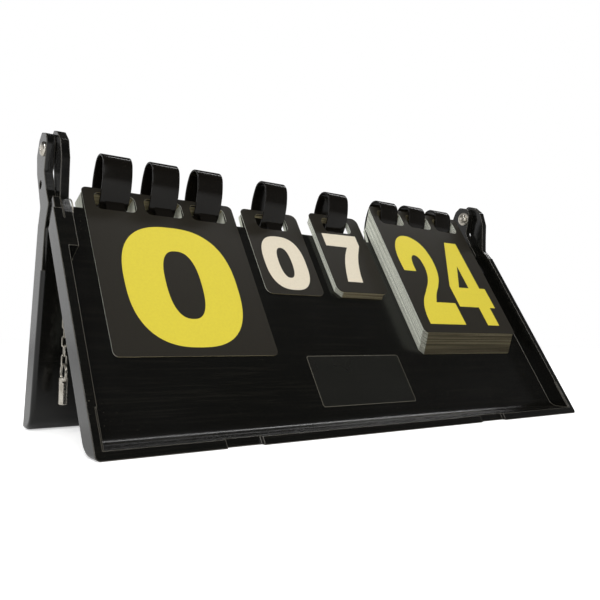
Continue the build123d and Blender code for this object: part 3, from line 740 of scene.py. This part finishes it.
line = add(tree, "GeometryNodeMeshLine",
           {"Count": given["Links"], "Start Location": FIRST_LINK / MM,
            "Offset": add(tree, "ShaderNodeCombineXYZ", {"Z": down})})
odd = add(tree, "ShaderNodeMath", {0: add(tree, "GeometryNodeInputIndex"), 1: 2.0}, operation="MODULO")
angle = add(tree, "ShaderNodeMath", {0: odd, 1: QUARTER_TURN}, operation="MULTIPLY")
placed = add(tree, "GeometryNodeInstanceOnPoints",
             {"Points": line, "Instance": smooth, "Rotation": add(tree, "ShaderNodeCombineXYZ", {"Z": angle})})
end_tree(tree, placed, steel)

# %% Chain
chain = put("plated_chain", grown(tree, "chain"), "chain", steel)
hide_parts("chain_links")

# %% [markdown]
# ## Wire rings
# The anchor ring is one turn of wire through the tray's floor, and the split ring is two turns side by side,
# as on a key ring. A torus would do for the first but not for the second. A spiral of constant radius gives
# both: its number of turns and its rise are inputs, so one tree makes either. Both stand square to the hinge
# line, in the middle of their solid's box.

# %% Wire ring tree
TURN_STEPS = 64
tree, given = new_tree("wire_ring_tree",
                       {"Turns": 1, "Radius": 8.4, "Wire": 0.9, "Rise": 0.0, "Place": [0.0, 0.0, 0.0]})
coil = add(tree, "GeometryNodeCurveSpiral",
           {"Resolution": TURN_STEPS, "Rotations": given["Turns"], "Start Radius": given["Radius"],
            "End Radius": given["Radius"], "Height": given["Rise"]})
half_wire = add(tree, "ShaderNodeMath", {0: given["Wire"], 1: 0.5}, operation="MULTIPLY")
wire = add(tree, "GeometryNodeCurvePrimitiveCircle", {"Resolution": WIRE_SIDES, "Radius": half_wire})
tube = add(tree, "GeometryNodeCurveToMesh", {"Curve": coil, "Profile Curve": wire, "Fill Caps": True})
smooth = add(tree, "GeometryNodeSetShadeSmooth", {"Geometry": tube})
half_rise = add(tree, "ShaderNodeMath", {0: given["Rise"], 1: -0.5}, operation="MULTIPLY")
centred = add(tree, "GeometryNodeTransform",
              {"Geometry": smooth, "Translation": add(tree, "ShaderNodeCombineXYZ", {"Z": half_rise})})
placed = add(tree, "GeometryNodeTransform",
             {"Geometry": centred, "Rotation": (0, QUARTER_TURN, 0), "Translation": given["Place"]})
end_tree(tree, placed, steel)


# %% Anchor ring and split ring
def wire_ring(name, node, body, turns, radius, wire, rise):
    """One ring in the middle of its solid's box. Sizes are in millimetres."""
    mesh = grown(tree, name, Turns=turns, Radius=radius / MM, Wire=wire / MM, Rise=rise / MM,
                 Place=middle(node) / MM)
    ring = put(name, mesh, body, steel)
    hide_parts(node)


wire_ring("anchor_wire_ring", "chain_anchor_ring", "front", turns=1, radius=8.4, wire=0.88, rise=0.0)
wire_ring("double_split_ring", "split_ring", "chain", turns=2, radius=5.5, wire=0.74, rise=1.5)

# %% [markdown]
# ## Hinge hardware
# The trays hinge on domed screws with a washer under the head and a collar nut inside, all turned on a lathe.
# So they are made as a lathe makes them: a profile is spun about the hinge line. Each profile is a list of
# distance out from the middle of the case and radius, in millimetres. The dome's small dimple and the
# washer's rounded rim are what catch the light.

# %% Profiles
TURNED = {
    "screw": [(180.6, 0), (180.6, 2.0), (181.0, 2.49), (194.9, 2.49), (194.95, 4.4), (195.3, 4.5),
              (195.9, 4.25), (196.5, 3.5), (196.9, 2.3), (197.0, 1.5), (196.85, 1.25), (196.3, 1.1), (196.2, 0)],
    "washer": [(183.2, 2.5), (183.2, 5.7), (183.35, 5.95), (183.7, 6.0), (184.05, 5.95), (184.2, 5.7),
               (184.2, 2.5)],
    "nut": [(183.2, 2.5), (183.2, 3.75), (181.9, 3.8), (181.5, 3.45), (180.9, 3.3), (180.6, 3.0), (180.6, 2.5)],
}
for kind, profile in TURNED.items():
    print(f"{kind}: {2 * max(radius for _, radius in profile):.1f} mm across")


# %% [markdown]
# ## Spinning a profile
# A Screw modifier could spin it, but the mesh is a simple grid: one ring of places for each step, joined to
# the next. Where a profile starts on the axis the solid is closed and its poles are merged. Otherwise the
# profile itself closes, as a washer's does. Mirroring to the left side turns faces inside out, so the normals
# are worked out again after the merge, and only corners sharper than 50 degrees stay crisp.

# %% Turned pieces
SPIN_STEPS = 48
CRISP_ANGLE = math.radians(50)
MERGE = 1e-6                                   # metres


def spun(name, profile, side):
    """Spins a profile about the hinge line, on the left (-1) or the right (1)."""
    places, faces = [], []
    count = len(profile)
    starts_on_axis = profile[0][1] == 0
    for i in range(SPIN_STEPS):
        angle = 2 * math.pi * i / SPIN_STEPS
        places += [(side * out / MM, (HINGE.y + radius * math.cos(angle)) / MM,
                    (HINGE.z + radius * math.sin(angle)) / MM) for out, radius in profile]
        here, there = i * count, (i + 1) % SPIN_STEPS * count
        for k in range(count - 1 if starts_on_axis else count):
            after = (k + 1) % count
            faces.append((here + k, here + after, there + after, there + k))
    mesh = bpy.data.meshes.new(name)
    mesh.from_pydata(places, [], faces)
    return mesh


def closed_and_smooth(mesh):
    """Merges the poles, turns the faces outwards and smooths all but the crisp corners."""
    work = bmesh.new()
    work.from_mesh(mesh)
    bmesh.ops.remove_doubles(work, verts=work.verts, dist=MERGE)
    bmesh.ops.recalc_face_normals(work, faces=work.faces)
    for face in work.faces:
        face.smooth = True
    work.to_mesh(mesh)
    work.free()
    mesh.set_sharp_from_angle(angle=CRISP_ANGLE)
    return mesh


# %% Screws, washers and nuts
for side_name, side in (("left", -1), ("right", 1)):
    for kind, profile in TURNED.items():
        mesh = closed_and_smooth(spun(f"{side_name}_{kind}", profile, side))
        piece = put(f"{side_name}_turned_{kind}", mesh, "front", steel)
        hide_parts(f"{side_name}_hinge_{kind}")

# %% [markdown]
# ## Bare label patch
# Below the small numbers a plain vinyl patch sits on the tray's floor, left blank. It is a thin plate with
# rounded corners, with a sliver of old adhesive showing all round, which is a second plate, a little larger,
# just under it. A cube with a bevel would round the wrong edges, so the outline is four quarter circles and
# the plate is that outline twice.

# %% A thin plate with round corners
CORNER_STEPS = 6


def rounded_outline(x0, x1, s0, s1, corner):
    """Places round a rectangle, with a quarter circle at each corner."""
    ring = []
    for cx, cs, start in ((x1 - corner, s1 - corner, 0), (x0 + corner, s1 - corner, 90),
                          (x0 + corner, s0 + corner, 180), (x1 - corner, s0 + corner, 270)):
        for step in range(CORNER_STEPS + 1):
            angle = math.radians(start + 90 * step / CORNER_STEPS)
            ring.append((cx + corner * math.cos(angle), cs + corner * math.sin(angle)))
    return ring


def plate(name, outline, depth, thickness, material):
    """The outline at its depth and again nearer the front, joined by a wall."""
    count = len(outline)
    places = [panel(x, depth, s) for x, s in outline] + [panel(x, depth - thickness, s) for x, s in outline]
    faces = [list(range(count - 1, -1, -1)), list(range(count, 2 * count))]
    faces += [[i, (i + 1) % count, (i + 1) % count + count, i + count] for i in range(count)]
    mesh = bpy.data.meshes.new(name)
    mesh.from_pydata([tuple(p) for p in places], [], faces)
    mesh.update()
    put(name, mesh, "front", material)


# %% Adhesive and patch
ADHESIVE_SHOWS = 0.5                           # how far it stands out round the patch, millimetres
PATCH_X, PATCH_S = (-42, 39), (26, 62)
wide_x = (PATCH_X[0] - ADHESIVE_SHOWS, PATCH_X[1] + ADHESIVE_SHOWS)
wide_s = (PATCH_S[0] - ADHESIVE_SHOWS, PATCH_S[1] + ADHESIVE_SHOWS)
plate("label_adhesive_edge", rounded_outline(*wide_x, *wide_s, corner=1.8), depth=13.28, thickness=0.05,
      material=edge_film)
plate("bare_label_patch", rounded_outline(*PATCH_X, *PATCH_S, corner=1.5), depth=13.22, thickness=0.1,
      material=patch_black)

# %% [markdown]
# ## Floor
# The case stands on pale paper that runs out of sight. A white floor could be had from strong lamps, but they
# would bleach the cards. So the paper glows, in rays that come straight from the camera and, much less, in
# rays mirrored in the gloss. Light that falls on the case sees no glow, and the object's shadow stays.

# %% Paper floor
FLOOR_GLOW, MIRRORED_GLOW = 0.55, 0.12
floor_mat, tree = new_material("pale_paper_floor")
rays = add(tree, "ShaderNodeLightPath").outputs
own = add(tree, "ShaderNodeMath", {0: rays["Is Camera Ray"], 1: FLOOR_GLOW}, operation="MULTIPLY")
mirrored = add(tree, "ShaderNodeMath", {0: rays["Is Glossy Ray"], 1: MIRRORED_GLOW}, operation="MULTIPLY")
glow = add(tree, "ShaderNodeMath", {0: own, 1: mirrored}, operation="ADD")
end_material(floor_mat, {"Base Color": srgb("#f6f6f5"), "Roughness": 0.9,
                         "Emission Color": srgb("#ffffff"), "Emission Strength": glow})

# %% Floor
FLOOR_HALF, FLOOR_Z = 4, -0.0002               # metres, just under the feet
floor_mesh = bpy.data.meshes.new("studio_floor")
corners = [(x * FLOOR_HALF, y * FLOOR_HALF, 0) for x, y in ((-1, -1), (1, -1), (1, 1), (-1, 1))]
floor_mesh.from_pydata(corners, [], [(0, 1, 2, 3)])
floor_mesh.materials.append(floor_mat)
floor = bpy.data.objects.new("studio_floor", floor_mesh)
bpy.context.scene.collection.objects.link(floor)
floor.location.z = FLOOR_Z
print("the floor is", 2 * FLOOR_HALF, "m square")

# %% [markdown]
# ## Surround
# The world is three things to three kinds of ray. Straight from the camera it is the white background. As
# light on the object it is an even grey. In the gloss it is a room: a pale backdrop low behind the case, and
# dark above and in front, which keeps black plastic black and still gives its edges something pale to mirror.

# %% The room that the gloss sees
DARKEST = 0.06
world = bpy.data.worlds.new("studio")
bpy.context.scene.world = world
world.use_nodes = True
tree = world.node_tree
tree.nodes.clear()
coords = add(tree, "ShaderNodeTexCoord").outputs["Generated"]
way = add(tree, "ShaderNodeSeparateXYZ", {0: coords}).outputs
low = add(tree, "ShaderNodeMapRange",
          {"Value": way["Z"], "From Min": 0.25, "From Max": 0.55, "To Min": 1.0, "To Max": 0.0})
behind = add(tree, "ShaderNodeMapRange",
             {"Value": way["Y"], "From Min": -0.1, "From Max": 0.35, "To Min": 0.12, "To Max": 1.0})
backdrop = add(tree, "ShaderNodeMath", {0: low, 1: behind}, operation="MULTIPLY")
room = add(tree, "ShaderNodeMapRange", {"Value": backdrop, "To Min": DARKEST})
print("the room in the gloss goes from", DARKEST, "to 1")

# %% Which ray sees what
GREY, WHITE = [0.5, 0.5, 0.5, 1], [1, 1, 1, 1]
rays = add(tree, "ShaderNodeLightPath").outputs
seen = add(tree, "ShaderNodeMath", {0: rays["Is Camera Ray"], 1: rays["Is Transmission Ray"]},
           operation="MAXIMUM")
lit = add(tree, "ShaderNodeMix", {MIX_FACTOR: rays["Is Glossy Ray"], MIX_A: GREY, MIX_B: room},
          data_type="RGBA")
level = add(tree, "ShaderNodeMix", {MIX_FACTOR: seen, MIX_A: lit, MIX_B: WHITE}, data_type="RGBA")
surround = add(tree, "ShaderNodeBackground", {"Color": level})
add(tree, "ShaderNodeOutputWorld", {"Surface": surround})
print("the world has", len(tree.nodes), "nodes")


# %% [markdown]
# ## Lamps
# Three soft area lamps: a large key high in front on the left, a weak fill low in front, and a narrow strip
# high on the right, which brightens the loops' tops. The strip looks straight down, so that its long side
# lies along the case. Small lamps would make hard glints, and black plastic would show every one.

# %% Lamps
def lamp(name, place, aim, size, power):
    """An area lamp at a place, turned towards its aim, in metres and watts."""
    data = bpy.data.lights.new(name, "AREA")
    data.shape = "RECTANGLE"
    data.size, data.size_y = size
    data.energy = power
    obj = bpy.data.objects.new(name, data)
    bpy.context.scene.collection.objects.link(obj)
    obj.location = place
    obj.rotation_euler = (Vector(aim) - Vector(place)).to_track_quat("-Z", "Y").to_euler()
    print(f"{name}: {power} W from {place}")


CASE_MIDDLE = (0, 0, 0.08)
lamp("soft_key", (-0.9, -0.9, 1.3), CASE_MIDDLE, size=(0.9, 0.9), power=13)
lamp("soft_fill", (-0.35, -1.5, 0.45), CASE_MIDDLE, size=(0.8, 0.5), power=4)
lamp("hair_strip", (0.95, 0.19, 1.3), (0.95, 0.19, 0), size=(1.6, 0.09), power=5)

# %% [markdown]
# ## Camera
# The camera is low, close to the left end, and looks along the numbered side, so the near cards are large and
# the far ones small. Yaw, pitch and roll are easier to reason about than Euler angles. They give the
# direction it looks in, and from that its right and up.

# %% Camera
YAW, LOOK_UP, ROLL = math.radians(36.01), math.radians(3.06), math.radians(0.61)
CAMERA_PLACE = Vector((-0.3024, -0.3724, 0.0593))
FOCAL_LENGTH, SENSOR_WIDTH = 40.1, 36
forward = Vector((math.sin(YAW) * math.cos(LOOK_UP), math.cos(YAW) * math.cos(LOOK_UP), math.sin(LOOK_UP)))
level_right = Vector((math.cos(YAW), -math.sin(YAW), 0))
level_up = level_right.cross(forward)
right = level_right * math.cos(ROLL) + level_up * math.sin(ROLL)
up = level_up * math.cos(ROLL) - level_right * math.sin(ROLL)
lens = bpy.data.cameras.new("camera")
lens.sensor_width, lens.lens = SENSOR_WIDTH, FOCAL_LENGTH
lens.clip_start = 0.01
camera = bpy.data.objects.new("camera", lens)
bpy.context.scene.collection.objects.link(camera)
camera.matrix_world = (Matrix.Translation(CAMERA_PLACE)
                       @ Matrix((right, up, -forward)).transposed().to_4x4())
bpy.context.scene.camera = camera
bpy.context.scene.view_settings.view_transform = "Standard"
print("the camera stands", round(CAMERA_PLACE.length, 3), "m from the middle of the case's foot")
